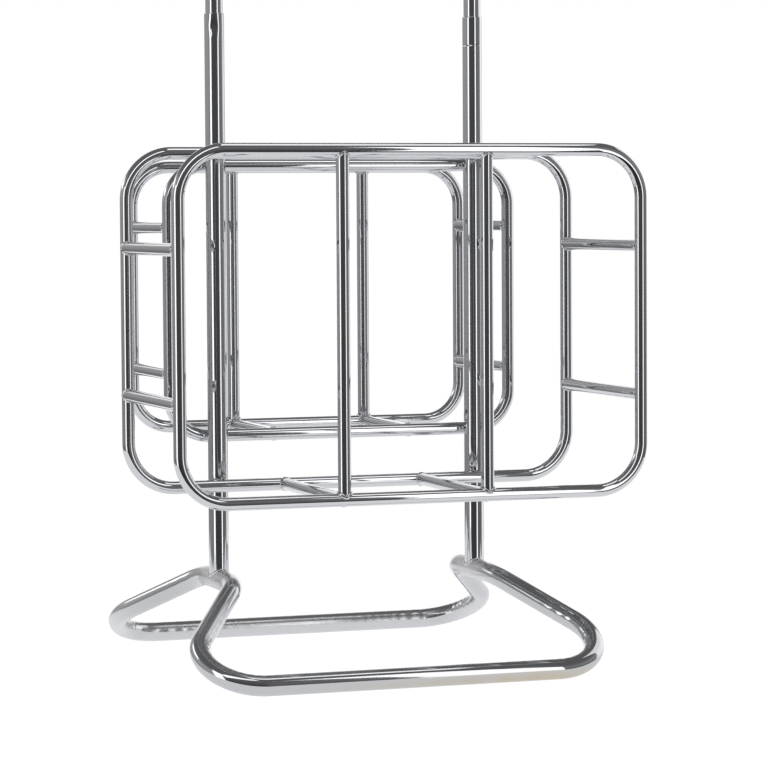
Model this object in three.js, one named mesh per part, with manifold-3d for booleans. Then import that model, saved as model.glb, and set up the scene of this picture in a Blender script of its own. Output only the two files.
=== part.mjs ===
// Cabin-baggage size gauge: a free-standing rack of chromed steel tube.
// Millimetres, +Z up, +X to the user's right, -Y towards the user.
// The origin is on the floor, midway between the two posts.
//
// One bent tube makes the base.  Two posts stand on it and carry a large open-topped
// cage in front and a smaller one behind.  A hoop with a sign panel telescopes in the
// posts and is held by a lock screw in each of them.

import * as THREE from 'three';
import { mergeVertices } from 'three/addons/utils/BufferGeometryUtils.js';
import Module from 'manifold-3d';

const wasm = await Module();
wasm.setup();

// ---------------------------------------------------------------- driving dimensions

const GAP = 0.3; // left at every weld, seam and sliding face

// tube stock: outer diameters, bores, and the sides of the faceted sections
const CAGE_OD = 15.9;
const FRAME_OD = 25.4;
const POST_BORE = 22.8;
const HOOP_OD = 22.2;
const CAGE_SIDES = 12;
const FRAME_SIDES = 16;
const ARC_STEP = Math.PI / 16; // turn between two rings on a bend

// posts
const POST_X = 172;
const POST_TOP = 821;

// base loop: corners of its centreline before bending
const BASE_DEPTH = 540; // overall, front to back
const BASE_CORNER_X = 304;
const BASE_APEX_Z = 110;
const BASE_APEX_Y = 68;
const BASE_FLOOR_BEND = 66;
const BASE_APEX_BEND = 62;

// front cage: the largest bag that fits is its clear width, height and depth
const CAGE_CLEAR = { width: 570, height: 400, depth: 225 };
const CAGE_FLOOR_Z = 230.5; // centreline of its bottom rails
const CAGE_BEND = 58;
const CAGE_BAR_X = 91; // front bars and floor rungs, either side of the middle
const CAGE_RUNG_DZ = 91; // side rungs, above and below mid height

// rear cage
const REAR_CLEAR = { width: 440, height: 325, depth: 168 };
const REAR_FLOOR_Z = 291;
const REAR_BEND = 50;
const REAR_BAR_X = 91;
const REAR_RUNG_DZ = 92;

// hoop with the sign
const HOOP_TOP = 1200; // overall height of the stand
const HOOP_FOOT = 600; // lower ends of the legs, inside the posts
const HOOP_BEND = 60;
const SIGN = { width: 297, height: 210, thick: 3, corner: 8, midZ: 1035 };
const LUG = { thick: 2, height: 20, dz: 80 };
const SIGN_SCREW_X = 140;

// fasteners
const LOCK_SCREW = { z: 803, shank: 4, head: 8, headHeight: 1.4, socket: 2.5, length: 1.6 };
const SIGN_SCREW = { shank: 4, head: 7.6, headHeight: 2.2, socket: 2.5, length: 9.6 };
const NUT = { acrossFlats: 7, height: 3.2 };
const SCREW_SIDES = 12;

// ---------------------------------------------------------------- materials

const CHROME = { color: 0xc9cbcf, roughness: 0.06, metalness: 1 };
const FASTENER = { color: 0xb9bbbf, roughness: 0.18, metalness: 1 };
const SHEET = { color: 0xeceeef, roughness: 0.35, metalness: 0 };

// ---------------------------------------------------------------- shapes and solids

const vec = (x, y, z) => new THREE.Vector3(x, y, z);

/** Adds a regular polygon with a flat on each axis; diameter is measured across its flats. */
function addPolygon(path, diameter, sides) {
  const radius = diameter / 2 / Math.cos(Math.PI / sides);
  for (let i = 0; i < sides; i += 1) {
    const angle = (2 * Math.PI * (i + 0.5)) / sides;
    const point = [radius * Math.cos(angle), radius * Math.sin(angle)];
    if (i === 0) path.moveTo(...point);
    else path.lineTo(...point);
  }
  path.closePath();
  return path;
}

const barSection = (od, sides) => addPolygon(new THREE.Shape(), od, sides);

function pipeSection(od, odSides, bore, boreSides) {
  const section = barSection(od, odSides);
  section.holes.push(addPolygon(new THREE.Path(), bore, boreSides));
  return section;
}

/** A centreline of straights and bends, with a ring of the sweep only where it is needed. */
class Route extends THREE.Curve {
  constructor(stations) {
    super();
    this.stations = stations;
  }

  station(u) {
    return this.stations[Math.round(u * (this.stations.length - 1))];
  }

  getPointAt(u) {
    return this.station(u).point.clone();
  }

  getTangentAt(u) {
    return this.station(u).tangent.clone();
  }
}

/** Stations round one bend of the given radius at a corner between two straights. */
function bendStations(before, corner, after, radius) {
  const into = corner.clone().sub(before).normalize();
  const out = after.clone().sub(corner).normalize();
  const turn = into.angleTo(out);
  const inward = out.clone().sub(into).normalize();
  const centre = corner.clone().addScaledVector(inward, radius / Math.cos(turn / 2));
  const spoke = corner.clone().addScaledVector(into, -radius * Math.tan(turn / 2)).sub(centre);
  const axis = into.clone().cross(out).normalize();
  const steps = Math.ceil(turn / ARC_STEP);
  const stations = [];
  for (let i = 0; i <= steps; i += 1) {
    const angle = (turn * i) / steps;
    stations.push({
      point: spoke.clone().applyAxisAngle(axis, angle).add(centre),
      tangent: into.clone().applyAxisAngle(axis, angle),
    });
  }
  return stations;
}

/** An open route through the corners, each bent to its own radius. */
function openRoute(start, corners, end) {
  const points = [start, ...corners.map((corner) => corner.at), end];
  const along = (from, to) => to.clone().sub(from).normalize();
  const stations = [{ point: start, tangent: along(start, points[1]) }];
  corners.forEach((corner, i) => {
    stations.push(...bendStations(points[i], corner.at, points[i + 2], corner.bend));
  });
  stations.push({ point: end, tangent: along(points[points.length - 2], end) });
  return new Route(stations);
}

/** A loop that starts and ends midway along its first side, where its butt weld is. */
function loopRoute(corners) {
  const first = corners[0].at;
  const last = corners[corners.length - 1].at;
  const seam = first.clone().add(last).multiplyScalar(0.5);
  const halfGap = first.clone().sub(last).setLength(GAP / 2);
  return openRoute(seam.clone().add(halfGap), corners, seam.clone().sub(halfGap));
}

function sweep(section, route) {
  const steps = route.stations.length - 1;
  return new THREE.ExtrudeGeometry(section, { steps, extrudePath: route, bevelEnabled: false });
}

/** A section extruded straight from one point to another. */
function straight(section, from, to) {
  const direction = to.clone().sub(from);
  const depth = direction.length();
  const geometry = new THREE.ExtrudeGeometry(section, { depth, bevelEnabled: false });
  const turn = new THREE.Quaternion().setFromUnitVectors(vec(0, 0, 1), direction.normalize());
  return geometry.applyQuaternion(turn).translate(from.x, from.y, from.z);
}

function toSolid(geometry) {
  const bare = geometry.clone();
  bare.deleteAttribute('normal');
  bare.deleteAttribute('uv');
  const merged = mergeVertices(bare, 1e-4);
  const vertProperties = new Float32Array(merged.attributes.position.array);
  const triVerts = new Uint32Array(merged.index.array);
  return new wasm.Manifold(new wasm.Mesh({ numProp: 3, vertProperties, triVerts }));
}

function toGeometry(solid) {
  const mesh = solid.getMesh();
  const geometry = new THREE.BufferGeometry();
  geometry.setAttribute('position', new THREE.BufferAttribute(mesh.vertProperties, 3));
  geometry.setIndex(new THREE.BufferAttribute(mesh.triVerts, 1));
  geometry.computeVertexNormals();
  return geometry;
}

function cut(geometry, ...cutters) {
  const solids = cutters.map(toSolid);
  return toGeometry(solids.reduce((left, cutter) => left.subtract(cutter), toSolid(geometry)));
}

function named(name, geometry, finish) {
  const mesh = new THREE.Mesh(geometry, new THREE.MeshStandardMaterial(finish));
  mesh.name = name;
  return mesh;
}

// ---------------------------------------------------------------- base and posts

/** The base: straight floor bars front and back, their ends bent up to an apex under each post. */
function baseLoop() {
  const floorZ = FRAME_OD / 2;
  const floorY = (BASE_DEPTH - FRAME_OD) / 2;
  const floorCorner = (x, y) => ({ at: vec(x, y, floorZ), bend: BASE_FLOOR_BEND });
  const apexCorner = (x, y) => ({ at: vec(x, y, BASE_APEX_Z), bend: BASE_APEX_BEND });
  const route = loopRoute([
    floorCorner(BASE_CORNER_X, -floorY),
    apexCorner(POST_X, -BASE_APEX_Y),
    apexCorner(POST_X, BASE_APEX_Y),
    floorCorner(BASE_CORNER_X, floorY),
    floorCorner(-BASE_CORNER_X, floorY),
    apexCorner(-POST_X, BASE_APEX_Y),
    apexCorner(-POST_X, -BASE_APEX_Y),
    floorCorner(-BASE_CORNER_X, -floorY),
  ]);
  return sweep(barSection(FRAME_OD, FRAME_SIDES), route);
}

/** A post: its foot is coped over the base's apex, and a hole takes the lock screw. */
function post(side) {
  const x = side * POST_X;
  const pipe = straight(
    pipeSection(FRAME_OD, FRAME_SIDES, POST_BORE, FRAME_SIDES),
    vec(x, 0, BASE_APEX_Z),
    vec(x, 0, POST_TOP),
  );
  const apexOd = FRAME_OD / Math.cos(Math.PI / FRAME_SIDES) + 2 * GAP;
  const apex = straight(
    barSection(apexOd, 2 * FRAME_SIDES),
    vec(x, -FRAME_OD, BASE_APEX_Z),
    vec(x, FRAME_OD, BASE_APEX_Z),
  );
  const screwHole = straight(
    barSection(LOCK_SCREW.shank + 2 * GAP, SCREW_SIDES),
    vec(x, 0, LOCK_SCREW.z),
    vec(x, FRAME_OD, LOCK_SCREW.z),
  );
  return cut(pipe, apex, screwHole);
}

// ---------------------------------------------------------------- cages

/** The centreline box of a cage: half width, bottom, top, near and far loop planes. */
function cageBox(clear, floorZ, nearY, outward) {
  return {
    halfWidth: (clear.width + CAGE_OD) / 2,
    bottom: floorZ,
    top: floorZ + clear.height + CAGE_OD,
    nearY,
    farY: nearY + outward * (clear.depth + CAGE_OD),
  };
}

const LOOP_OFFSET = (FRAME_OD + CAGE_OD) / 2 + GAP; // a loop welded to the face of the posts
const FRONT = cageBox(CAGE_CLEAR, CAGE_FLOOR_Z, -LOOP_OFFSET, -1);
const REAR = cageBox(REAR_CLEAR, REAR_FLOOR_Z, LOOP_OFFSET, 1);

function cageLoop(box, y, bend) {
  const corner = (x, z) => ({ at: vec(x, y, z), bend });
  const route = loopRoute([
    corner(box.halfWidth, box.bottom),
    corner(box.halfWidth, box.top),
    corner(-box.halfWidth, box.top),
    corner(-box.halfWidth, box.bottom),
  ]);
  return sweep(barSection(CAGE_OD, CAGE_SIDES), route);
}

/** What a cage tube through a point, along a direction, takes from a tube welded to it. */
function cope(point, along) {
  const reach = along.clone().setLength(CAGE_OD);
  const section = barSection(CAGE_OD + 2 * GAP, CAGE_SIDES);
  return straight(section, point.clone().sub(reach), point.clone().add(reach));
}

/** A straight cage tube whose two ends are coped to the tubes that cross it there. */
function copedTube(from, to, crossing) {
  const tube = straight(barSection(CAGE_OD, CAGE_SIDES), from, to);
  return cut(tube, cope(from, crossing), cope(to, crossing));
}

/** An upright bar between the rails of a cage's outermost loop. */
function uprightBar(box, x) {
  return copedTube(vec(x, box.farY, box.bottom), vec(x, box.farY, box.top), vec(1, 0, 0));
}

/** A level rung from loop to loop on one side of a cage. */
function sideRung(box, side, dz) {
  const x = side * box.halfWidth;
  const z = (box.bottom + box.top) / 2 + dz;
  return copedTube(vec(x, box.nearY, z), vec(x, box.farY, z), vec(0, 0, 1));
}

/** A rung from loop to loop in the floor of a cage; an upright bar rises over its far end. */
function floorRung(box, x) {
  const far = vec(x, box.farY, box.bottom);
  const rung = copedTube(vec(x, box.nearY, box.bottom), far, vec(1, 0, 0));
  return cut(rung, cope(far, vec(0, 0, 1)));
}

/** Every tube of one cage; the prefix and the two loop names tell the cages apart. */
function cage({ prefix, nearLoop, farLoop, box, bend, barX, rungDz }) {
  const group = new THREE.Group();
  const add = (name, geometry) => group.add(named(name, geometry, CHROME));
  add(nearLoop, cageLoop(box, box.nearY, bend));
  add(farLoop, cageLoop(box, box.farY, bend));
  for (const [sideName, side] of [['left', -1], ['right', 1]]) {
    add(`${prefix}_bar_${sideName}`, uprightBar(box, side * barX));
    add(`${prefix}_floor_rung_${sideName}`, floorRung(box, side * barX));
    add(`${prefix}_side_rung_${sideName}_lower`, sideRung(box, side, -rungDz));
    add(`${prefix}_side_rung_${sideName}_upper`, sideRung(box, side, rungDz));
  }
  return group;
}

// ---------------------------------------------------------------- hoop and sign

/** The inverted U that telescopes in the posts. */
function upperHoop() {
  const top = HOOP_TOP - HOOP_OD / 2;
  const route = openRoute(
    vec(-POST_X, 0, HOOP_FOOT),
    [-1, 1].map((side) => ({ at: vec(side * POST_X, 0, top), bend: HOOP_BEND })),
    vec(POST_X, 0, HOOP_FOOT),
  );
  return sweep(barSection(HOOP_OD, FRAME_SIDES), route);
}

function roundedPlate(width, height, corner) {
  const [x, y] = [width / 2, height / 2];
  const shape = new THREE.Shape();
  shape.moveTo(-x + corner, -y);
  shape.lineTo(x - corner, -y);
  shape.absarc(x - corner, -y + corner, corner, -Math.PI / 2, 0);
  shape.lineTo(x, y - corner);
  shape.absarc(x - corner, y - corner, corner, 0, Math.PI / 2);
  shape.lineTo(-x + corner, y);
  shape.absarc(-x + corner, y - corner, corner, Math.PI / 2, Math.PI);
  shape.lineTo(-x, -y + corner);
  shape.absarc(-x + corner, -y + corner, corner, Math.PI, 1.5 * Math.PI);
  return shape;
}

/** A plate drawn in X and Z, standing on edge with its front face at the given Y. */
function uprightPlate(shape, thick, frontY) {
  const settings = { depth: thick, bevelEnabled: false, curveSegments: 4 };
  const plate = new THREE.ExtrudeGeometry(shape, settings);
  return plate.rotateX(Math.PI / 2).translate(0, frontY + thick, 0);
}

function boltHole(x, z) {
  const section = barSection(SIGN_SCREW.shank + 2 * GAP, SCREW_SIDES);
  return straight(section, vec(x, -FRAME_OD, z), vec(x, FRAME_OD, z));
}

const LUG_FRONT = -LUG.thick / 2;
const SIGN_BACK = LUG_FRONT - GAP;
const SIGN_FRONT = SIGN_BACK - SIGN.thick;
const CORNERS = [
  ['left_lower', -1, -1],
  ['left_upper', -1, 1],
  ['right_lower', 1, -1],
  ['right_upper', 1, 1],
];

function signPanel() {
  const plate = roundedPlate(SIGN.width, SIGN.height, SIGN.corner);
  const panel = uprightPlate(plate, SIGN.thick, SIGN_FRONT).translate(0, 0, SIGN.midZ);
  const holes = CORNERS.map(([, side, level]) => (
    boltHole(side * SIGN_SCREW_X, SIGN.midZ + level * LUG.dz)
  ));
  return cut(panel, ...holes);
}

/** A flat lug welded to the inside of a hoop leg, drilled for a sign screw. */
function signLug(side, level) {
  const outerX = POST_X - HOOP_OD / 2 - GAP;
  const innerX = 2 * SIGN_SCREW_X - outerX + LUG.height / 2;
  const z = SIGN.midZ + level * LUG.dz;
  const blank = new THREE.BoxGeometry(outerX - innerX, LUG.thick, LUG.height);
  const lug = blank.translate((side * (outerX + innerX)) / 2, 0, z);
  return cut(lug, boltHole(side * SIGN_SCREW_X, z));
}

/** A dome-headed socket screw along Y; the underside of its head is at Y = 0, its tip at +Y. */
function domeScrew({ shank, head, headHeight, socket, length }) {
  const profile = [new THREE.Vector2(0, -length), new THREE.Vector2(shank / 2, -length)];
  profile.push(new THREE.Vector2(shank / 2, 0), new THREE.Vector2(head / 2, 0));
  for (let i = 1; i <= 4; i += 1) {
    const angle = (Math.PI / 2) * (i / 4);
    const height = headHeight * (0.25 + 0.75 * Math.sin(angle));
    profile.push(new THREE.Vector2((head / 2) * Math.cos(angle), height));
  }
  profile[profile.length - 1].x = 0;
  const body = new THREE.LatheGeometry(profile, SCREW_SIDES);
  const recess = straight(
    barSection(socket, 6),
    vec(0, 0, headHeight * 0.4),
    vec(0, 0, headHeight * 2),
  ).rotateX(-Math.PI / 2);
  return cut(body, recess).rotateX(Math.PI);
}

function hexNut() {
  const section = pipeSection(NUT.acrossFlats, 6, SIGN_SCREW.shank + 2 * GAP, SCREW_SIDES);
  return straight(section, vec(0, 0, 0), vec(0, NUT.height, 0));
}

/** One corner of the sign: the welded lug, its screw from the front and the nut behind. */
function signCorner([cornerName, side, level]) {
  const group = new THREE.Group();
  const [x, z] = [side * SIGN_SCREW_X, SIGN.midZ + level * LUG.dz];
  const screw = named(`sign_screw_${cornerName}`, domeScrew(SIGN_SCREW), FASTENER);
  screw.position.set(x, SIGN_FRONT - GAP, z);
  const nut = named(`sign_nut_${cornerName}`, hexNut(), FASTENER);
  nut.position.set(x, LUG.thick / 2 + GAP, z);
  group.add(named(`sign_lug_${cornerName}`, signLug(side, level), CHROME), screw, nut);
  return group;
}

/** A lock screw in the far side of a post. */
function lockScrew(name, side) {
  const screw = named(name, domeScrew(LOCK_SCREW), FASTENER);
  screw.position.set(side * POST_X, FRAME_OD / 2 + GAP, LOCK_SCREW.z);
  screw.rotation.z = Math.PI;
  return screw;
}

// ---------------------------------------------------------------- assembly

const gauge = new THREE.Group();

const stand = new THREE.Group();
stand.add(named('base_loop', baseLoop(), CHROME));
stand.add(named('post_left', post(-1), CHROME));
stand.add(named('post_right', post(1), CHROME));
stand.add(cage({
  prefix: 'front',
  nearLoop: 'front_inner_loop',
  farLoop: 'front_outer_loop',
  box: FRONT,
  bend: CAGE_BEND,
  barX: CAGE_BAR_X,
  rungDz: CAGE_RUNG_DZ,
}));
stand.add(cage({
  prefix: 'rear',
  nearLoop: 'rear_inner_loop',
  farLoop: 'rear_outer_loop',
  box: REAR,
  bend: REAR_BEND,
  barX: REAR_BAR_X,
  rungDz: REAR_RUNG_DZ,
}));
stand.add(lockScrew('lock_screw_left', -1));
stand.add(lockScrew('lock_screw_right', 1));

const header = new THREE.Group();
header.add(named('upper_hoop', upperHoop(), CHROME));
header.add(named('sign_panel', signPanel(), SHEET));
header.add(...CORNERS.map(signCorner));

gauge.add(stand, header);

export default gauge;
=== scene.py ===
"""Cabin-baggage size gauge: the looks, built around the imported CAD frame, in metres."""

import math

import bpy
import numpy as np
from mathutils import Matrix, Quaternion, Vector, noise


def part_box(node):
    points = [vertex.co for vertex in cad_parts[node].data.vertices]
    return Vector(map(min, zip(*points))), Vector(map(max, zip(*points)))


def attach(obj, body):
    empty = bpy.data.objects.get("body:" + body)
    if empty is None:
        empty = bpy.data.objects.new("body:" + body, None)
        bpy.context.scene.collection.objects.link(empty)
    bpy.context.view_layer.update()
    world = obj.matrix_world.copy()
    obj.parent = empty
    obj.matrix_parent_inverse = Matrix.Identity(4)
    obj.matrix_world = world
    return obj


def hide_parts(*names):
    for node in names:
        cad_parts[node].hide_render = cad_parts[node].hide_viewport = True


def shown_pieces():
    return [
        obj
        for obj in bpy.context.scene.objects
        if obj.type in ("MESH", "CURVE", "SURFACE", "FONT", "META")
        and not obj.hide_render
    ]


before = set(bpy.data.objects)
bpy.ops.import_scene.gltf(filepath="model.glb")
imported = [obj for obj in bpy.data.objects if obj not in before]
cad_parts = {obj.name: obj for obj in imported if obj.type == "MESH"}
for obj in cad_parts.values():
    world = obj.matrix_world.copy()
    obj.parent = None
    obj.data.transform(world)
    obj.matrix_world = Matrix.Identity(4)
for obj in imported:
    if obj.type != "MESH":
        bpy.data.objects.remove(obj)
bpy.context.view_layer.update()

MM = 0.001

# ---------------------------------------------------------------- driving values

# camera: where it stands, where it looks, and its lens on a 36 mm sensor
CAMERA_PLACE = Vector((-1.2638, -3.8096, 0.5754))
CAMERA_YAW = math.radians(19.04)  # from +Y towards +X
CAMERA_PITCH = math.radians(-3.19)
CAMERA_ROLL = math.radians(-0.35)
CAMERA_LENS = 147.4
SENSOR = 36.0

# bends of the centrelines, as in the CAD
FRONT_BEND = 58 * MM
REAR_BEND = 50 * MM
HOOP_BEND = 60 * MM
BASE_CORNER_X = 304 * MM
BASE_APEX_Y = 68 * MM
BASE_FLOOR_BEND = 66 * MM
BASE_APEX_BEND = 62 * MM

# fineness of the tube meshes
RING_STEP = 4 * MM
BASE_STEP = 2 * MM
SECTION_SIDES = 32
POST_SIDES = 48

# wrinkles left in the base by bending
WRINKLE_DEPTH = 0.42 * MM
WRINKLE_PITCH = 15 * MM
WRINKLE_FADE = 90 * MM
WRINKLE_CAP = 0.6  # share of the sharpest bending from which the wrinkles grow no deeper

# posts
POST_WALL = 1.3 * MM
POST_RIM = 0.45 * MM  # rounding of the top
POST_RINGS = 130
FINE_TOP = 60 * MM  # the part that carries the dimple or the groove, with closer rings
FINE_RINGS = 150
BORE_SHOWN = 40 * MM  # how deep the bore is modelled

# marks near the tops of the posts: a dimple in the left one, a groove round the right one
DIMPLE_Z = 803.5 * MM
DIMPLE_TURN = math.radians(22)  # from the front towards the left
DIMPLE_DEPTH = 0.9 * MM
DIMPLE_REACH = (6 * MM, 9 * MM)
GROOVE_Z = 785 * MM
GROOVE_DEPTH = 0.3 * MM
GROOVE_REACH = 0.6 * MM

# welds
COPE_EASE = 0.9  # a saddle is cut as for a tube this much slimmer; the weld covers its short tips
SADDLE_BITE = 0.2 * MM  # how far a coped end reaches into the tube it is welded to
BEAD_CAGE = 1.7 * MM  # radius of a weld bead round a cage tube
BEAD_BAR_FOOT = 2.9 * MM  # round the foot of a cage's bar
BEAD_FRAME = 2.1 * MM  # round the foot of a post
BEAD_LUG = 1.1 * MM  # round the end of a sign lug
BEAD_SUNK = 0.3  # depth of a bead's centre under the tube's wall, in bead radii
BEAD_POINTS = 72
BEAD_SIDES = 10
BEAD_RIPPLE = 0.03  # swing of a bead's radius from one ripple to the next
BEAD_LUMP = 0.14  # and over its slower lumps
RIPPLE_POINTS = 6
LUMPS_PER_METRE = 240
TACK_RING = 5.2 * MM  # ring of weld where a rail crosses a post
TACK_STRETCH = 1.15  # its width over its height
TACK_BEAD = 1.6 * MM

# heat tint round the welds: its reach and its strength
TACK_HEAT = (34 * MM, 0.62)
LUG_HEAT = (12 * MM, 0.15)
JOINT_HEAT_REACH = 1.3  # in radii of the tube
CAGE_HEAT = 0.12
POST_HEAT = 0.35

# marks on the base: dull patches and a hazy rear bar, rougher and painted paler as painted light, and a
# warm, darker tint under the front bar
DULL_REACH = 60 * MM
DULL_APEX_X = 165 * MM
DULL_REAR_BEND = (285 * MM, 220 * MM, 20 * MM)
HAZY_LEG_AND_PAINTED_LIGHT = (Vector((-235, -150, 65)) * MM, 70 * MM, 0.3)  # place, reach, strength
REAR_HAZE_AND_PAINTED_LIGHT = 0.36
BAR_START_Y = 235 * MM  # from here outwards the bars carry their haze or stain
BAR_FADE = 10 * MM
UNDERSIDE_START_X = -160 * MM
UNDERSIDE_FADE = 300 * MM
# the lugs are also painted the paler dull colour, which is painted light
LUG_SATIN_AND_PAINTED_LIGHT = 0.8  # the lugs are plated but not polished

# sign, lugs, screws and nuts; the heads, shanks and nuts have the CAD's sizes
SCREW_HEAD = 8 * MM
SCREW_HEAD_HEIGHT = 1.4 * MM
SIGN_HEAD = 7.6 * MM
SIGN_HEAD_HEIGHT = 2.2 * MM
SOCKET = 2.5 * MM
SHANK = 4 * MM
NUT_FLATS = 7 * MM
NUT_PLAY = 0.15 * MM
SIGN_CORNER = 8 * MM
LUG_CORNER = 4 * MM
CORNER_STEPS = 6
LUG_SUNK = 1.5 * MM  # how far a lug runs into the hoop's leg
EDGE = 0.4 * MM  # the small bevel on sheet, lugs, screws and nuts
FOOT_EDGE = 0.1 * MM  # the bevel under a screw's head
DOME_SIDE = 0.25  # share of a head's height below its dome
DOME_STEPS = 6
SOCKET_LIP = 1.3  # the dome stops round the socket at this many times its width
SOCKET_FLOOR = 0.4  # height of the socket's floor, as a share of the head's
DRILL_POINT = 0.05  # and how much deeper its middle is
FASTENER_SIDES = 24
SHARP = math.radians(32)

# colours of the metal
PLATE = (0.57, 0.575, 0.595)
BASE_PLATE = (0.49, 0.495, 0.51)  # a darker plate for the base
WELD_PLATE = (0.56, 0.56, 0.57)
FASTENER_PLATE = (0.66, 0.66, 0.67)
HEAT_STRAW = (0.56, 0.51, 0.43)
HEAT_BROWN = (0.42, 0.34, 0.25)
HEAT_GREY = (0.27, 0.25, 0.26)
# a warm, darker colour along the underside of the base's front bar
UNDERSIDE_COLOUR = (0.50, 0.44, 0.33)
# painted light: the paler colour painted on dull and hazy chrome
SATIN_WITH_PAINTED_LIGHT = (0.72, 0.72, 0.73)

# the studio: radiance of its walls by angle from the camera's direction, in degrees to the right
WALLS = (
    (-180, 0.34), (-150, 0.34), (-110, 0.44), (-66, 0.40), (-48, 0.12), (-30, 0.09),
    (25, 0.085), (45, 0.20), (75, 0.24), (110, 0.30), (180, 0.34),
)
WALL_SHADE = ((0.12, 0.35), (0.42, 0.6), (0.5, 1.0), (0.68, 1.4))  # by slope, 0 down to 1 up
CEILING = 0.17
CEILING_START, CEILING_FULL = 0.68, 0.82  # slopes
BACKDROP = 1.25
BACKDROP_EDGE = (0.865, 0.89)  # cosines of the angle from straight behind the rack
FLOOR = (-1.3, -0.75, 1.3, 1.3)

SIDES = (("left", -1), ("right", 1))
LEVELS = ("lower", "upper")

# ---------------------------------------------------------------- reading the frame


def centre(node):
    low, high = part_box(node)
    return (low + high) / 2


def size(node):
    low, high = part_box(node)
    return high - low


def tube_radius(node):
    """The radius of a straight or flat-bent tube is half its smallest extent."""
    return min(size(node)) / 2


# ---------------------------------------------------------------- centrelines


def bend_arc(before, corner, after, radius, step):
    """Points round a bend between two straights that meet at a corner."""
    into = (corner - before).normalized()
    out = (after - corner).normalized()
    turn = into.angle(out)
    middle = corner + (out - into).normalized() * (radius / math.cos(turn / 2))
    spoke = corner - into * (radius * math.tan(turn / 2)) - middle
    axis = into.cross(out).normalized()
    steps = max(2, math.ceil(turn * radius / step))
    return [middle + Matrix.Rotation(turn * i / steps, 3, axis) @ spoke for i in range(steps + 1)]


def fill_straights(points, closed, step):
    """Adds points along the straights so that no two are further apart than a step."""
    ends = points[1:] + points[:1] if closed else points[1:]
    filled = []
    for start, end in zip(points, ends):
        count = max(1, math.ceil((end - start).length / step))
        filled += [start.lerp(end, i / count) for i in range(count)]
    return filled if closed else filled + [points[-1]]


def closed_line(corners, bends, step):
    """A closed line through the corners, each rounded to its own bend."""
    points = []
    for i, corner in enumerate(corners):
        after = corners[(i + 1) % len(corners)]
        points += bend_arc(corners[i - 1], corner, after, bends[i], step)
    return fill_straights(points, True, step)


def open_line(start, corners, bend, end):
    """A line from start to end through the corners, all rounded to one bend."""
    points = [start]
    route = [start, *corners, end]
    for i, corner in enumerate(corners):
        points += bend_arc(route[i], corner, route[i + 2], bend, RING_STEP)
    return fill_straights(points + [end], False, RING_STEP)


def loop_line(node, bend):
    """The centreline of a cage loop, a rounded rectangle that stands upright."""
    low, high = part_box(node)
    radius = tube_radius(node)
    y = (low.y + high.y) / 2
    x, bottom, top = high.x - radius, low.z + radius, high.z - radius
    corners = [Vector((x, y, bottom)), Vector((x, y, top)), Vector((-x, y, top)), Vector((-x, y, bottom))]
    return closed_line(corners, [bend] * 4, RING_STEP)


def base_line():
    """The base's centreline: a floor bar at the front and the back, and an arch at each side."""
    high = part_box("base_loop")[1]
    radius = size("post_left").x / 2
    floor_y, floor_z, apex_z = high.y - radius, radius, high.z - radius
    apex_x = centre("post_right").x
    quarter = [
        (BASE_CORNER_X, floor_y, floor_z, BASE_FLOOR_BEND),
        (apex_x, BASE_APEX_Y, apex_z, BASE_APEX_BEND),
    ]
    turns = []
    for sx, sy, order in ((1, -1, 1), (1, 1, -1), (-1, 1, 1), (-1, -1, -1)):
        turns += [(Vector((sx * x, sy * y, z)), bend) for x, y, z, bend in quarter[::order]]
    return closed_line([corner for corner, _ in turns], [bend for _, bend in turns], BASE_STEP)


# ---------------------------------------------------------------- meshes


def carried_frames(points, closed):
    """Tangents and a normal carried along the line without twist, closed up at the seam."""
    line = np.array([p[:] for p in points])
    if closed:
        tangents = np.roll(line, -1, 0) - np.roll(line, 1, 0)
    else:
        tangents = np.gradient(line, axis=0)
    tangents /= np.linalg.norm(tangents, axis=1)[:, None]
    start = Vector(tangents[0])
    normal = start.orthogonal().normalized()
    normals = [normal.copy()]
    for a, b in zip(tangents[:-1], tangents[1:]):
        normal = Vector(a).rotation_difference(Vector(b)) @ normal
        normals.append(normal.copy())
    if closed:
        last = Vector(tangents[-1]).rotation_difference(start) @ normal
        twist = math.atan2(last.cross(normals[0]).dot(start), last.dot(normals[0]))
        for i, t in enumerate(tangents):
            share = twist * i / len(tangents)
            normals[i] = Matrix.Rotation(share, 3, Vector(t)) @ normals[i]
    normals = np.array([n[:] for n in normals])
    return line, tangents, normals


def grid_faces(rings, sides, closed):
    """Quads between rings of vertices, with their outer faces out."""
    faces = []
    for i in range(rings if closed else rings - 1):
        here, there = i * sides, (i + 1) % rings * sides
        for k in range(sides):
            after = (k + 1) % sides
            faces.append((here + k, here + after, there + after, there + k))
    return faces


def capped_faces(verts, rings, sides, first_point, last_point):
    """Quads along an open run of rings, with a fan of triangles closing each end."""
    faces = grid_faces(rings, sides, False)
    first, last = len(verts), len(verts) + 1
    verts += [first_point, last_point]
    tail = (rings - 1) * sides
    for k in range(sides):
        after = (k + 1) % sides
        faces += [(first, after, k), (last, tail + k, tail + after)]
    return faces


def new_piece(name, verts, faces, body, material, sharp=None):
    """A smooth-shaded piece that rides a body; edges above the sharp angle stay crisp."""
    mesh = bpy.data.meshes.new(name)
    mesh.from_pydata([tuple(v) for v in verts], [], faces)
    mesh.validate()
    mesh.shade_smooth()
    if sharp:
        mesh.set_sharp_from_angle(angle=sharp)
    mesh.materials.append(material)
    piece = bpy.data.objects.new(name, mesh)
    bpy.context.scene.collection.objects.link(piece)
    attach(piece, body)
    return piece


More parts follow.
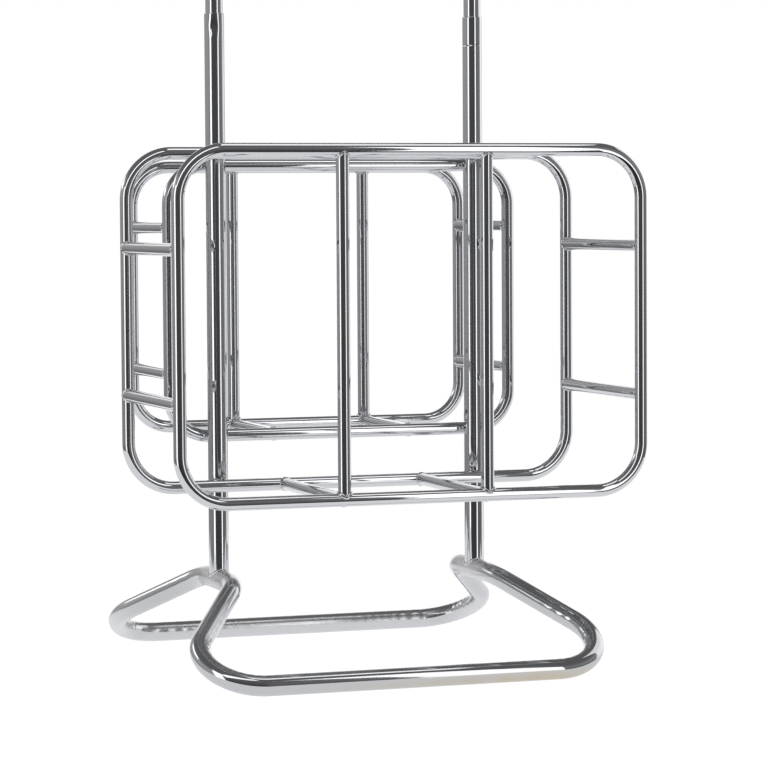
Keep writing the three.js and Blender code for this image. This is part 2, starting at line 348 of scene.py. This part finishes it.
def tube_verts(points, radius, closed, sides=SECTION_SIDES):
    """Rings of a round tube; radius is one number or one for each ring."""
    line, tangents, normals = carried_frames(points, closed)
    binormals = np.cross(tangents, normals)
    angles = np.arange(sides) * (2 * math.pi / sides)
    radii = np.broadcast_to(np.asarray(radius, float), (len(line),))[:, None, None]
    around = (
        np.cos(angles)[None, :, None] * normals[:, None, :]
        + np.sin(angles)[None, :, None] * binormals[:, None, :]
    )
    return (line[:, None, :] + around * radii).reshape(-1, 3)


def closed_tube(name, points, verts, node, material):
    faces = grid_faces(len(points), SECTION_SIDES, True)
    piece = new_piece(name, verts, faces, "stand", material)
    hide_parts(node)


def wrinkled(verts, points):
    """Presses faint wrinkles into the inner side of each bend, fading out along the straights."""
    line = np.array([p[:] for p in points])
    step = np.roll(line, -1, 0) - line
    length = np.linalg.norm(step, axis=1)
    ahead = step / length[:, None]
    turn = ahead - np.roll(ahead, 1, 0)
    run = np.cumsum(length)
    total = run[-1]
    apart = np.abs(run[:, None] - run[None])
    apart = np.minimum(apart, total - apart)
    inward = np.exp(-((apart / WRINKLE_FADE) ** 2)) @ turn
    strength = np.linalg.norm(inward, axis=1)
    strength = np.minimum(strength / strength.max(), WRINKLE_CAP)
    inward -= ahead * (inward * ahead).sum(1)[:, None]
    inward /= np.maximum(np.linalg.norm(inward, axis=1), 1e-9)[:, None]
    rings = verts.reshape(len(line), -1, 3)
    radial = rings - line[:, None]
    radial /= np.linalg.norm(radial, axis=2)[..., None]
    inside = np.clip((radial * inward[:, None]).sum(2), 0, 1)
    push = WRINKLE_DEPTH * (strength * uneven_wave(run, WRINKLE_PITCH))[:, None] * inside
    return (rings + radial * push[..., None]).reshape(-1, 3)


def uneven_wave(run, pitch):
    """A wave along a run whose spacing and height both wander."""
    wave = np.sin(2 * math.pi * run / pitch + 2.8 * np.sin(run / (1.3 * pitch)))
    return wave * (0.6 + 0.4 * np.sin(run / (0.9 * pitch) + 1.0))


def saddle_depth(sideways, radius, crossing_radius):
    """How far a tube's wall stops short of the axis of the tube that crosses its end.

    Sideways runs from 0 in line with the crossing tube to 1 beside it, where the cope is eased.
    """
    return math.sqrt(crossing_radius**2 - (COPE_EASE * radius * sideways) ** 2)


def coped_tube(name, node, start, end, crossing, radius, crossing_radius):
    """A straight tube between the axes of two crossing tubes, with saddle-shaped ends."""
    axis = (end - start).normalized()
    across = crossing.normalized()
    side = axis.cross(across)
    length = (end - start).length
    count = max(2, math.ceil(length / RING_STEP))
    verts = []
    for i in range(count + 1):
        for k in range(SECTION_SIDES):
            angle = 2 * math.pi * k / SECTION_SIDES
            depth = saddle_depth(math.sin(angle), radius, crossing_radius) - SADDLE_BITE
            along = depth + (length - 2 * depth) * i / count
            wall = across * math.cos(angle) + side * math.sin(angle)
            verts.append(start + axis * along + wall * radius)
    inside = axis * crossing_radius * 0.5
    faces = capped_faces(verts, count + 1, SECTION_SIDES, start + inside, end - inside)
    piece = new_piece(name, verts, faces, "stand", CHROME)
    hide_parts(node)


# ---------------------------------------------------------------- welds

weld_places = []  # (centre, reach of the heat round it, strength)


def lumpy(points, radius, seed):
    """Bead radii that swell and thin along a weld, as its ripples do."""
    radii = []
    for i, point in enumerate(points):
        ripple = BEAD_RIPPLE * math.sin(2 * math.pi * i / RIPPLE_POINTS)
        slow = BEAD_LUMP * noise.noise(point * LUMPS_PER_METRE + Vector((seed, 0, 0)))
        radii.append(radius * (1 + ripple + slow))
    return radii


def bead(name, points, radius, body="stand"):
    """A closed weld bead, its lumps seeded by how many weld places there are so far."""
    seed = len(weld_places)
    verts = tube_verts(points, lumpy(points, radius, seed), True, BEAD_SIDES)
    faces = grid_faces(len(points), BEAD_SIDES, True)
    new_piece(name, verts, faces, body, WELD)


def saddle_bead(name, end, axis, crossing, radius, crossing_radius, bead_radius, heat):
    """A bead round the joint of a coped tube; axis points from the crossing tube into the coped one."""
    axis, across = axis.normalized(), crossing.normalized()
    side = axis.cross(across)
    points = []
    for i in range(BEAD_POINTS):
        angle = 2 * math.pi * i / BEAD_POINTS
        depth = saddle_depth(math.sin(angle), radius, crossing_radius)
        wall = across * math.cos(angle) + side * math.sin(angle)
        points.append(end + axis * depth + wall * (radius - BEAD_SUNK * bead_radius))
    weld_places.append((end + axis * crossing_radius, JOINT_HEAT_REACH * radius, heat))
    bead(name, points, bead_radius)


def tack(name, place):
    """The ring of weld where a rail touches a post."""
    points = []
    for i in range(BEAD_POINTS):
        angle = 2 * math.pi * i / BEAD_POINTS
        x, z = TACK_RING * math.cos(angle), TACK_RING * math.sin(angle)
        points.append(place + Vector((x * TACK_STRETCH, 0, z)))
    weld_places.append((place, *TACK_HEAT))
    bead(name, points, TACK_BEAD)


# ---------------------------------------------------------------- materials


class Nodes:
    """A short way to write a node tree."""

    def __init__(self, owner):
        owner.use_nodes = True
        self.tree = owner.node_tree
        self.tree.nodes.clear()

    def add(self, kind, inputs=(), **settings):
        node = self.tree.nodes.new(kind)
        for key, value in settings.items():
            setattr(node, key, value)
        for key, value in dict(inputs).items():
            if isinstance(value, bpy.types.NodeSocket):
                self.tree.links.new(value, node.inputs[key])
            else:
                node.inputs[key].default_value = value
        return node

    def ramp(self, factor, stops):
        node = self.add("ShaderNodeValToRGB", {"Fac": factor})
        ramp = node.color_ramp
        while len(ramp.elements) < len(stops):
            ramp.elements.new(0.5)
        for element, (place, colour) in zip(ramp.elements, stops):
            element.position = place
            element.color = (*colour, 1)
        return node.outputs["Color"]

    def grey_ramp(self, factor, stops):
        return self.ramp(factor, [(place, grey(value)) for place, value in stops])

    def mix(self, factor, a, b, blend="MIX"):
        """Mixes two colours; inputs 0, 6 and 7 of the node are its factor and its colours."""
        node = self.add("ShaderNodeMix", data_type="RGBA", blend_type=blend)
        for key, value in ((0, factor), (6, a), (7, b)):
            if isinstance(value, bpy.types.NodeSocket):
                self.tree.links.new(value, node.inputs[key])
            else:
                node.inputs[key].default_value = value if key == 0 else (*value, 1)
        return node.outputs[2]

    def math(self, operation, a, b=0.0, c=0.0):
        return self.add("ShaderNodeMath", {0: a, 1: b, 2: c}, operation=operation).outputs[0]

    def noise(self, place, scale, detail):
        node = self.add("ShaderNodeTexNoise", {"Vector": place, "Scale": scale, "Detail": detail})
        return node.outputs["Fac"]

    def attribute(self, name):
        return self.add("ShaderNodeAttribute", attribute_name=name).outputs["Fac"]

    def dot(self, a, b):
        node = self.add("ShaderNodeVectorMath", {0: a, 1: b}, operation="DOT_PRODUCT")
        return node.outputs["Value"]


def grey(value):
    return (value, value, value)


def chrome_material(name, plate, dull, ripple):
    """Chrome plate: bright metal, slightly wavy and pitted, with heat tint, dull patches painted paler as
    painted light, and a warm underside tint.
    """
    material = bpy.data.materials.new(name)
    n = Nodes(material)
    place = n.add("ShaderNodeTexCoord").outputs["Object"]
    cloud = n.noise(place, 38.0, 4.0)
    grain = n.noise(place, 700.0, 2.0)
    wave = n.noise(place, 16.0, 1.0)
    heat = n.math("MULTIPLY", n.attribute("heat"), n.grey_ramp(cloud, [(0.35, 0.35), (0.65, 1.0)]))
    warm = n.math("MULTIPLY", n.attribute("underside_tint"), n.grey_ramp(cloud, [(0.3, 0.3), (0.6, 0.9)]))
    dull_and_painted_light = n.attribute("dull")
    tint = n.ramp(heat, [(0.0, plate), (0.3, HEAT_STRAW), (0.65, HEAT_BROWN), (1.0, HEAT_GREY)])
    tint = n.mix(warm, tint, UNDERSIDE_COLOUR)
    # where the chrome is dull it is painted the paler satin colour: painted light
    tint = n.mix(dull_and_painted_light, tint, SATIN_WITH_PAINTED_LIGHT)
    haze = n.grey_ramp(cloud, [(0.3, dull), (0.75, dull * 2.2)])
    rough = n.math("ADD", haze, n.math("MULTIPLY", heat, 0.16))
    satin = n.math("MULTIPLY", dull_and_painted_light, n.grey_ramp(grain, [(0.3, 0.32), (0.7, 0.6)]))
    rough = n.math("ADD", rough, satin)
    height = n.math("MULTIPLY_ADD", grain, 0.012, wave)
    bump = n.add("ShaderNodeBump", {"Height": height, "Strength": ripple, "Distance": 0.002})
    shader = n.add("ShaderNodeBsdfPrincipled", {
        "Base Color": tint, "Metallic": 1.0, "Roughness": rough, "Normal": bump.outputs[0],
    })
    n.add("ShaderNodeOutputMaterial", {"Surface": shader.outputs[0]})
    return material


def sheet_material():
    """The sign's blank sheet: pale satin plastic with a barely uneven gloss."""
    material = bpy.data.materials.new("sign_sheet")
    n = Nodes(material)
    place = n.add("ShaderNodeTexCoord").outputs["Object"]
    fine = n.noise(place, 420.0, 3.0)
    broad = n.noise(place, 9.0, 2.0)
    colour = n.ramp(broad, [(0.3, (0.80, 0.81, 0.82)), (0.7, (0.85, 0.86, 0.87))])
    rough = n.grey_ramp(fine, [(0.3, 0.30), (0.7, 0.40)])
    bump = n.add("ShaderNodeBump", {"Height": fine, "Strength": 0.06, "Distance": 0.0004})
    shader = n.add("ShaderNodeBsdfPrincipled", {
        "Base Color": colour, "Roughness": rough, "Normal": bump.outputs[0],
    })
    n.add("ShaderNodeOutputMaterial", {"Surface": shader.outputs[0]})
    return material


CHROME = chrome_material("chrome_plate", PLATE, 0.035, 0.10)
BASE_CHROME = chrome_material("base_chrome", BASE_PLATE, 0.045, 0.13)
WELD = chrome_material("plated_weld", WELD_PLATE, 0.06, 0.14)
FASTENER = chrome_material("plated_fastener", FASTENER_PLATE, 0.16, 0.08)
SHEET = sheet_material()

# ---------------------------------------------------------------- base, posts and cages


def build_base():
    line = base_line()
    verts = wrinkled(tube_verts(line, size("post_left").x / 2, True), line)
    closed_tube("base_loop_tube", line, verts, "base_loop", BASE_CHROME)


def post_profile(radius, bore, foot, top):
    """Outline of a post's wall above the cope, from the outside over the rim and into the bore."""
    rim = POST_RIM
    fine = top - FINE_TOP
    heights = [foot + (fine - foot) * i / POST_RINGS for i in range(POST_RINGS)]
    heights += [fine + (top - rim - fine) * i / FINE_RINGS for i in range(FINE_RINGS + 1)]
    outline = [(radius, z) for z in heights]
    for degrees in (60, 30, 0):
        angle = math.radians(degrees)
        outline.append((radius - rim + rim * math.sin(angle), top - rim + rim * math.cos(angle)))
    outline += [(bore + rim * 0.4, top), (bore, top - rim * 0.4), (bore, top - BORE_SHOWN)]
    return outline


def dimple(angle, z, radius):
    """How far the left post's wall is pressed in at a height and an angle from +X."""
    turn = angle - (math.radians(270) - DIMPLE_TURN)
    if math.cos(turn) < 0:
        return 0.0
    across = radius * math.sin(turn) / DIMPLE_REACH[0]
    up = (z - DIMPLE_Z) / DIMPLE_REACH[1]
    return DIMPLE_DEPTH * math.exp(-(across**2) - up**2)


def groove(z):
    """How deep the groove round the right post is at a height."""
    return GROOVE_DEPTH * math.exp(-(((z - GROOVE_Z) / GROOVE_REACH) ** 2))


def post_verts(outline, x, radius, apex_z, top, side):
    """Rings of a post; its foot follows the base's tube, and that saddle fades out towards the top."""
    start = outline[0][1]
    verts = []
    for r, z in outline:
        for k in range(POST_SIDES):
            angle = 2 * math.pi * k / POST_SIDES
            foot = apex_z + saddle_depth(math.cos(angle), radius, radius) - SADDLE_BITE
            share = (z - start) / (top - start)
            lift = (foot - start) * max(0.0, 1 - share)
            pressed = dimple(angle, z, radius) if side < 0 else groove(z)
            wall = r - pressed if r == radius else r
            verts.append((x + wall * math.cos(angle), wall * math.sin(angle), z + lift))
    return verts


def build_post(side_name, side):
    """A post: its foot is coped over the base's arch, and the top of its bore is open."""
    node = f"post_{side_name}"
    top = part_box(node)[1].z
    radius = size(node).x / 2
    x = centre(node).x
    apex_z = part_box("base_loop")[1].z - radius
    outline = post_profile(radius, radius - POST_WALL, apex_z + radius, top)
    verts = post_verts(outline, x, radius, apex_z, top, side)
    foot_point, bore_point = (x, 0, apex_z + radius * 0.5), (x, 0, top - BORE_SHOWN)
    faces = capped_faces(verts, len(outline), POST_SIDES, foot_point, bore_point)
    piece = new_piece(f"{node}_tube", verts, faces, "stand", CHROME, SHARP)
    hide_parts(node)
    foot_centre = Vector((x, 0, apex_z))
    up, along = Vector((0, 0, 1)), Vector((0, 1, 0))
    saddle_bead(f"{node}_foot_weld", foot_centre, up, along, radius, radius, BEAD_FRAME, POST_HEAT)


def welded_tube(name, start, end, crossing, radius, first_bead=BEAD_CAGE):
    """A bar or rung of a cage with a bead round each end."""
    coped_tube(f"{name}_tube", name, start, end, crossing, radius, radius)
    axis = end - start
    saddle_bead(f"{name}_weld_a", start, axis, crossing, radius, radius, first_bead, CAGE_HEAT)
    saddle_bead(f"{name}_weld_b", end, -axis, crossing, radius, radius, BEAD_CAGE, CAGE_HEAT)


def build_cage(prefix, bend, outward):
    """A cage: two loops, the bars and rungs between them, and its welds on the posts."""
    inner, outer = f"{prefix}_inner_loop", f"{prefix}_outer_loop"
    radius = tube_radius(inner)
    for node in (inner, outer):
        line = loop_line(node, bend)
        closed_tube(f"{node}_tube", line, tube_verts(line, radius, True), node, CHROME)
    low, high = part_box(inner)
    inner_y, outer_y = centre(inner).y, centre(outer).y
    bottom, top = low.z + radius, high.z - radius
    x_axis, z_axis = Vector((1, 0, 0)), Vector((0, 0, 1))
    touch_y = outward * size("post_left").y / 2
    for side_name, _ in SIDES:
        bar = f"{prefix}_bar_{side_name}"
        x = centre(bar).x
        foot, head = Vector((x, outer_y, bottom)), Vector((x, outer_y, top))
        welded_tube(bar, foot, head, x_axis, radius, BEAD_BAR_FOOT)
        rung = f"{prefix}_floor_rung_{side_name}"
        x = centre(rung).x
        near, far = Vector((x, inner_y, bottom)), Vector((x, outer_y, bottom))
        welded_tube(rung, near, far, x_axis, radius)
        for level in LEVELS:
            rung = f"{prefix}_side_rung_{side_name}_{level}"
            x, _, z = centre(rung)
            near, far = Vector((x, inner_y, z)), Vector((x, outer_y, z))
            welded_tube(rung, near, far, z_axis, radius)
        post_x = centre(f"post_{side_name}").x
        for level, z in zip(LEVELS, (bottom, top)):
            tack(f"{prefix}_post_weld_{side_name}_{level}", Vector((post_x, touch_y, z)))


# ---------------------------------------------------------------- hoop and sign


def build_hoop():
    low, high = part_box("upper_hoop")
    radius = size("upper_hoop").y / 2
    x, top = high.x - radius, high.z - radius
    corners = [Vector((-x, 0, top)), Vector((x, 0, top))]
    line = open_line(Vector((-x, 0, low.z)), corners, HOOP_BEND, Vector((x, 0, low.z)))
    verts = [tuple(v) for v in tube_verts(line, radius, False)]
    faces = capped_faces(verts, len(line), SECTION_SIDES, tuple(line[0]), tuple(line[-1]))
    piece = new_piece("upper_hoop_tube", verts, faces, "header", CHROME)
    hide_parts("upper_hoop")


def plate_outline(low, high, corner, inset):
    """A rectangle in the XZ plane with rounded corners, drawn in by an inset; anticlockwise from -Y."""
    points = []
    for i, (cx, cz) in enumerate(((high.x, high.z), (low.x, high.z), (low.x, low.z), (high.x, low.z))):
        sx, sz = (1, 1, -1, -1)[(i + 1) % 4], (1, 1, -1, -1)[i]
        middle_x, middle_z = cx - sx * corner, cz - sz * corner
        reach = corner - inset
        for step in range(CORNER_STEPS + 1):
            angle = math.radians(90 * (i + step / CORNER_STEPS))
            points.append((middle_x + reach * math.cos(angle), middle_z + reach * math.sin(angle)))
    return points


def plate(name, node, low, high, corner, slot, material):
    """An upright plate with rounded corners and bevelled edges, in place of a CAD node."""
    layers = ((low.y, EDGE), (low.y + EDGE, 0.0), (high.y - EDGE, 0.0), (high.y, EDGE))
    verts = []
    for y, inset in layers:
        verts += [(x, y, z) for x, z in plate_outline(low, high, corner, inset)]
    sides = len(verts) // len(layers)
    faces = grid_faces(len(layers), sides, False)
    tail = sides * (len(layers) - 1)
    faces += [tuple(reversed(range(sides))), tuple(range(tail, tail + sides))]
    piece = new_piece(name, verts, [tuple(reversed(f)) for f in faces], "header", material, SHARP)
    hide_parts(node)


def turned_verts(outline, place, facing):
    """Rings about an axis; each has a radius, a height and whether it is a hexagon."""
    side = facing.orthogonal().normalized()
    up = facing.cross(side)
    verts = []
    for radius, height, hexagonal in outline:
        for k in range(FASTENER_SIDES):
            angle = 2 * math.pi * k / FASTENER_SIDES
            to_flat = math.cos(angle % math.radians(60) - math.radians(30))
            reach = radius / to_flat if hexagonal else radius
            wall = (side * math.cos(angle) + up * math.sin(angle)) * reach
            verts.append(place + facing * height + wall)
    return verts


def dome_screw(name, node, place, facing, head, height, length, body):
    """A domed screw with a hexagonal socket; its head sits on a face and its shank goes behind it."""
    shank = SHANK / 2
    outline = [(shank - EDGE, -length, False), (shank, EDGE - length, False), (shank, 0, False)]
    outline += [(head / 2 - FOOT_EDGE, 0, False), (head / 2, FOOT_EDGE, False)]
    lip = math.acos(SOCKET_LIP * SOCKET / head)
    for i in range(DOME_STEPS + 1):
        angle = lip * i / DOME_STEPS
        rise = DOME_SIDE + (1 - DOME_SIDE) * math.sin(angle)
        outline.append((head / 2 * math.cos(angle), height * rise, False))
    rim = outline[-1][1]
    outline += [(SOCKET / 2, rim, True), (SOCKET / 2, height * SOCKET_FLOOR, True)]
    verts = turned_verts(outline, place, facing)
    tip, floor = place - facing * length, place + facing * height * (SOCKET_FLOOR - DRILL_POINT)
    faces = capped_faces(verts, len(outline), FASTENER_SIDES, tip, floor)
    piece = new_piece(name, verts, faces, body, FASTENER, SHARP)
    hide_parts(node)


def hex_nut(name, node, body):
    """A chamfered nut with a plain bore, its axis along Y, in place of a CAD node."""
    low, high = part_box(node)
    middle = (low + high) / 2
    flat, thick, bore = NUT_FLATS / 2, high.y - low.y, SHANK / 2 + NUT_PLAY
    outline = [
        (bore, 0, False), (flat - EDGE, 0, False), (flat, EDGE, True), (flat, thick - EDGE, True),
        (flat - EDGE, thick, False), (bore, thick, False),
    ]
    verts = turned_verts(outline, Vector((middle.x, low.y, middle.z)), Vector((0, 1, 0)))
    faces = grid_faces(len(outline), FASTENER_SIDES, True)
    piece = new_piece(name, verts, faces, body, FASTENER, SHARP)
    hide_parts(node)


def sign_lug(node, side):
    """A lug with rounded inner corners, run into the hoop's leg and welded round its end."""
    low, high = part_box(node)
    leg_face = low.x if side < 0 else high.x
    if side < 0:
        low.x -= LUG_SUNK
    else:
        high.x += LUG_SUNK
    plate(f"{node}_plate", node, low, high, LUG_CORNER, "chrome_tube", CHROME)
    middle = (low + high) / 2
    middle.x = leg_face
    weld_places.append((middle, *LUG_HEAT))
    bead(f"{node}_weld", lug_weld_line(middle, (high - low) / 2), BEAD_LUG, "header")


def lug_weld_line(middle, half):
    """A flattened ring round the end of a lug, where it meets the leg."""
    points = []
    for i in range(BEAD_POINTS):
        angle = 2 * math.pi * i / BEAD_POINTS
        straight = max(-1.0, min(1.0, 1.6 * math.sin(angle)))
        z = (half.z - half.y) * straight + half.y * math.sin(angle)
        y = (half.y + 0.1 * MM) * math.tanh(3 * math.cos(angle))
        points.append(middle + Vector((0, y, z)))
    return points


def build_sign():
    low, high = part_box("sign_panel")
    plate("sign_blank", "sign_panel", low, high, SIGN_CORNER, "sign_sheet", SHEET)
    front = Vector((0, -1, 0))
    for side_name, side in SIDES:
        for level in LEVELS:
            corner = f"{side_name}_{level}"
            sign_lug(f"sign_lug_{corner}", side)
            hex_nut(f"sign_nut_{corner}_hex", f"sign_nut_{corner}", "header")
            screw = f"sign_screw_{corner}"
            screw_low, screw_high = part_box(screw)
            place = Vector((centre(screw).x, screw_low.y + SIGN_HEAD_HEIGHT, centre(screw).z))
            length = screw_high.y - place.y
            dome = f"{screw}_dome"
            dome_screw(dome, screw, place, front, SIGN_HEAD, SIGN_HEAD_HEIGHT, length, "header")


def build_lock_screw(side_name):
    """A lock screw in the back of a post; its body has the same name as its node."""
    node = f"lock_screw_{side_name}"
    low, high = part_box(node)
    place = Vector((centre(node).x, high.y - SCREW_HEAD_HEIGHT, centre(node).z))
    length = place.y - low.y
    facing = Vector((0, 1, 0))
    dome_screw(f"{node}_dome", node, place, facing, SCREW_HEAD, SCREW_HEAD_HEIGHT, length, node)


# ---------------------------------------------------------------- marks of making and use


def nearness(co, places):
    """How strongly the places, each with a reach and a strength, mark each vertex."""
    spots = np.array([place[:] for place, _, _ in places])
    reach = np.array([reach for _, reach, _ in places])
    strength = np.array([strength for _, _, strength in places])
    distance = np.linalg.norm(co[:, None] - spots[None], axis=2)
    return (strength * np.exp(-((distance / reach) ** 2))).max(axis=1)


def dull_and_painted_light_places():
    """Bends of the base that the polisher could not reach well, and one leg that is a little hazy; these
    are rougher and painted paler, which is painted light.
    """
    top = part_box("base_loop")[1].z
    bend_x, bend_y, bend_z = DULL_REAR_BEND
    places = [HAZY_LEG_AND_PAINTED_LIGHT]
    for _, side in SIDES:
        places.append((Vector((side * DULL_APEX_X, 0, top)), DULL_REACH, 1.0))
        places.append((Vector((side * bend_x, bend_y, bend_z)), DULL_REACH, 1.0))
    return places


def rear_haze_and_painted_light(co):
    """The base's rear bar is hazier than the rest, and painted paler, which is painted light."""
    return REAR_HAZE_AND_PAINTED_LIGHT * np.clip((co[:, 1] - BAR_START_Y) / BAR_FADE, 0, 1)


def underside_tint(co):
    """A warm, darker tint along the underside of the base's front bar, stronger to the right."""
    radius = size("post_left").x / 2
    front = np.clip((-BAR_START_Y - co[:, 1]) / BAR_FADE, 0, 1)
    low = np.clip((radius * 1.4 - co[:, 2]) / radius, 0, 1)
    along = np.clip((co[:, 0] - UNDERSIDE_START_X) / UNDERSIDE_FADE, 0, 1)
    return front * low * along


def mark_chrome():
    """Stores heat, dullness with its painted light, and the underside tint on each chrome piece, by
    vertex.
    """
    dull = dull_and_painted_light_places()
    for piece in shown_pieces():
        mesh = piece.data
        if mesh.materials[0] not in (CHROME, BASE_CHROME, WELD):
            continue
        co = np.zeros(len(mesh.vertices) * 3, np.float32)
        mesh.vertices.foreach_get("co", co)
        co = co.reshape(-1, 3)
        base = piece.name == "base_loop_tube"
        satin = LUG_SATIN_AND_PAINTED_LIGHT if piece.name.startswith("sign_lug") else 0.0
        # dull makes the chrome rougher and also paints it paler, which is painted light
        marks = {
            "heat": nearness(co, weld_places),
            "dull": np.maximum(nearness(co, dull), rear_haze_and_painted_light(co)) if base else np.full(len(co), satin),
            "underside_tint": underside_tint(co) if base else np.zeros(len(co)),
        }
        for name, values in marks.items():
            attribute = mesh.attributes.new(name, "FLOAT", "POINT")
            attribute.data.foreach_set("value", values.astype(np.float32))


# ---------------------------------------------------------------- stage


def build_camera():
    data = bpy.data.cameras.new("camera")
    data.lens = CAMERA_LENS
    data.sensor_width = SENSOR
    camera = bpy.data.objects.new("camera", data)
    bpy.context.scene.collection.objects.link(camera)
    level = math.cos(CAMERA_PITCH)
    east, north = math.sin(CAMERA_YAW) * level, math.cos(CAMERA_YAW) * level
    ahead = Vector((east, north, math.sin(CAMERA_PITCH)))
    level_right = Vector((math.cos(CAMERA_YAW), -math.sin(CAMERA_YAW), 0))
    right = Matrix.Rotation(-CAMERA_ROLL, 3, ahead) @ level_right
    up = right.cross(ahead)
    turned = Matrix((right, up, -ahead)).transposed()
    camera.matrix_world = Matrix.Translation(CAMERA_PLACE) @ turned.to_4x4()
    bpy.context.scene.camera = camera


def softbox(name, place, aim, width, height, radiance, roll=0.0, glossy=True):
    """An area light turned to its aim and rolled by some degrees; the camera doesn't see it."""
    data = bpy.data.lights.new(name, "AREA")
    data.shape = "RECTANGLE"
    data.size, data.size_y = width, height
    data.energy = radiance * math.pi * width * height
    light = bpy.data.objects.new(name, data)
    bpy.context.scene.collection.objects.link(light)
    light.location = place
    facing = (Vector(aim) - Vector(place)).to_track_quat("-Z", "Y")
    light.rotation_euler = (facing @ Quaternion((0, 0, 1), math.radians(roll))).to_euler()
    light.visible_camera = False
    light.visible_glossy = glossy


def build_lights():
    """Softboxes that draw the bright lines along the tubes, and a fill that they don't mirror."""
    softbox("left_softbox", (-1.5, -0.74, 0.47), (0, 0, 0.47), 0.50, 1.15, 1.9)
    softbox("right_softbox", (0.62, -1.56, 0.75), (0, 0, 0.75), 0.31, 1.9, 1.9)
    softbox("top_softbox", (0.4, -0.42, 2.0), (0.4, -0.42, 0), 0.8, 0.6, 1.7)
    softbox("right_panel", (1.3, 0.25, 0.8), (0, 0.25, 0.8), 0.9, 1.9, 1.1)
    softbox("back_left_softbox", (-1.97, 1.57, 1.39), (-0.24, 0.16, 0.06), 1.6, 0.45, 1.9)
    softbox("bridge_softbox", (-0.86, -1.3, 1.64), (-0.25, -0.26, 0.6), 2.0, 0.42, 1.9, roll=40.7)
    softbox("front_fill", (-0.9, -2.6, 2.0), (0, 0, 0.9), 1.6, 1.6, 3.2, glossy=False)


def build_world():
    """A studio as chrome shows it: dark towards the camera, grey at the sides, a lit backdrop."""
    world = bpy.data.worlds.new("studio")
    bpy.context.scene.world = world
    n = Nodes(world)
    direction = n.add("ShaderNodeTexCoord").outputs["Generated"]
    ahead = (math.sin(CAMERA_YAW), math.cos(CAMERA_YAW), 0.0)
    right = (math.cos(CAMERA_YAW), -math.sin(CAMERA_YAW), 0.0)
    to_back = n.dot(direction, ahead)
    to_right = n.dot(direction, right)
    height = n.dot(direction, (0.0, 0.0, 1.0))
    turn = n.math("ARCTAN2", to_right, n.math("MULTIPLY", to_back, -1.0))
    share = n.math("ADD", n.math("MULTIPLY", turn, 0.5 / math.pi), 0.5)
    walls = n.grey_ramp(share, [((degrees + 180) / 360, value) for degrees, value in WALLS])
    slope = n.math("MULTIPLY_ADD", height, 0.5, 0.5)
    walls = n.mix(1.0, walls, n.grey_ramp(slope, WALL_SHADE), "MULTIPLY")
    upper = n.grey_ramp(slope, [(CEILING_START, 0.0), (CEILING_FULL, 1.0)])
    room = n.mix(upper, walls, grey(CEILING))
    lit = n.grey_ramp(to_back, [(BACKDROP_EDGE[0], 0.0), (BACKDROP_EDGE[1], 1.0)])
    room = n.mix(lit, room, grey(BACKDROP))
    seen = n.add("ShaderNodeLightPath").outputs["Is Camera Ray"]
    colour = n.mix(seen, room, grey(1.0))
    background = n.add("ShaderNodeBackground", {"Color": colour, "Strength": 1.0})
    n.add("ShaderNodeOutputWorld", {"Surface": background.outputs[0]})


def floor_material():
    """White paper lit so evenly that only a faint shadow is left on it."""
    material = bpy.data.materials.new("pale_floor")
    n = Nodes(material)
    place = n.add("ShaderNodeTexCoord").outputs["Generated"]
    grain = n.noise(place, 60.0, 3.0)
    colour = n.grey_ramp(grain, [(0.0, 0.22), (1.0, 0.24)])
    shader = n.add("ShaderNodeBsdfPrincipled", {
        "Base Color": colour, "Roughness": 0.9, "Specular IOR Level": 0.0,
        "Emission Color": (0.925, 0.93, 0.945, 1), "Emission Strength": 1.0,
    })
    n.add("ShaderNodeOutputMaterial", {"Surface": shader.outputs[0]})
    return material


def build_floor():
    left, front, right, back = FLOOR
    verts = [(left, front, 0), (right, front, 0), (right, back, 0), (left, back, 0)]
    mesh = bpy.data.meshes.new("floor")
    mesh.from_pydata(verts, [], [(0, 1, 2, 3)])
    mesh.materials.append(floor_material())
    floor = bpy.data.objects.new("floor", mesh)
    bpy.context.scene.collection.objects.link(floor)


# ---------------------------------------------------------------- making it all

build_camera()
build_base()
for post_side, post_sign in SIDES:
    build_post(post_side, post_sign)
    build_lock_screw(post_side)
build_cage("front", FRONT_BEND, -1)
build_cage("rear", REAR_BEND, 1)
build_hoop()
build_sign()
mark_chrome()
build_world()
build_lights()
build_floor()
bpy.context.scene.view_settings.view_transform = "Standard"
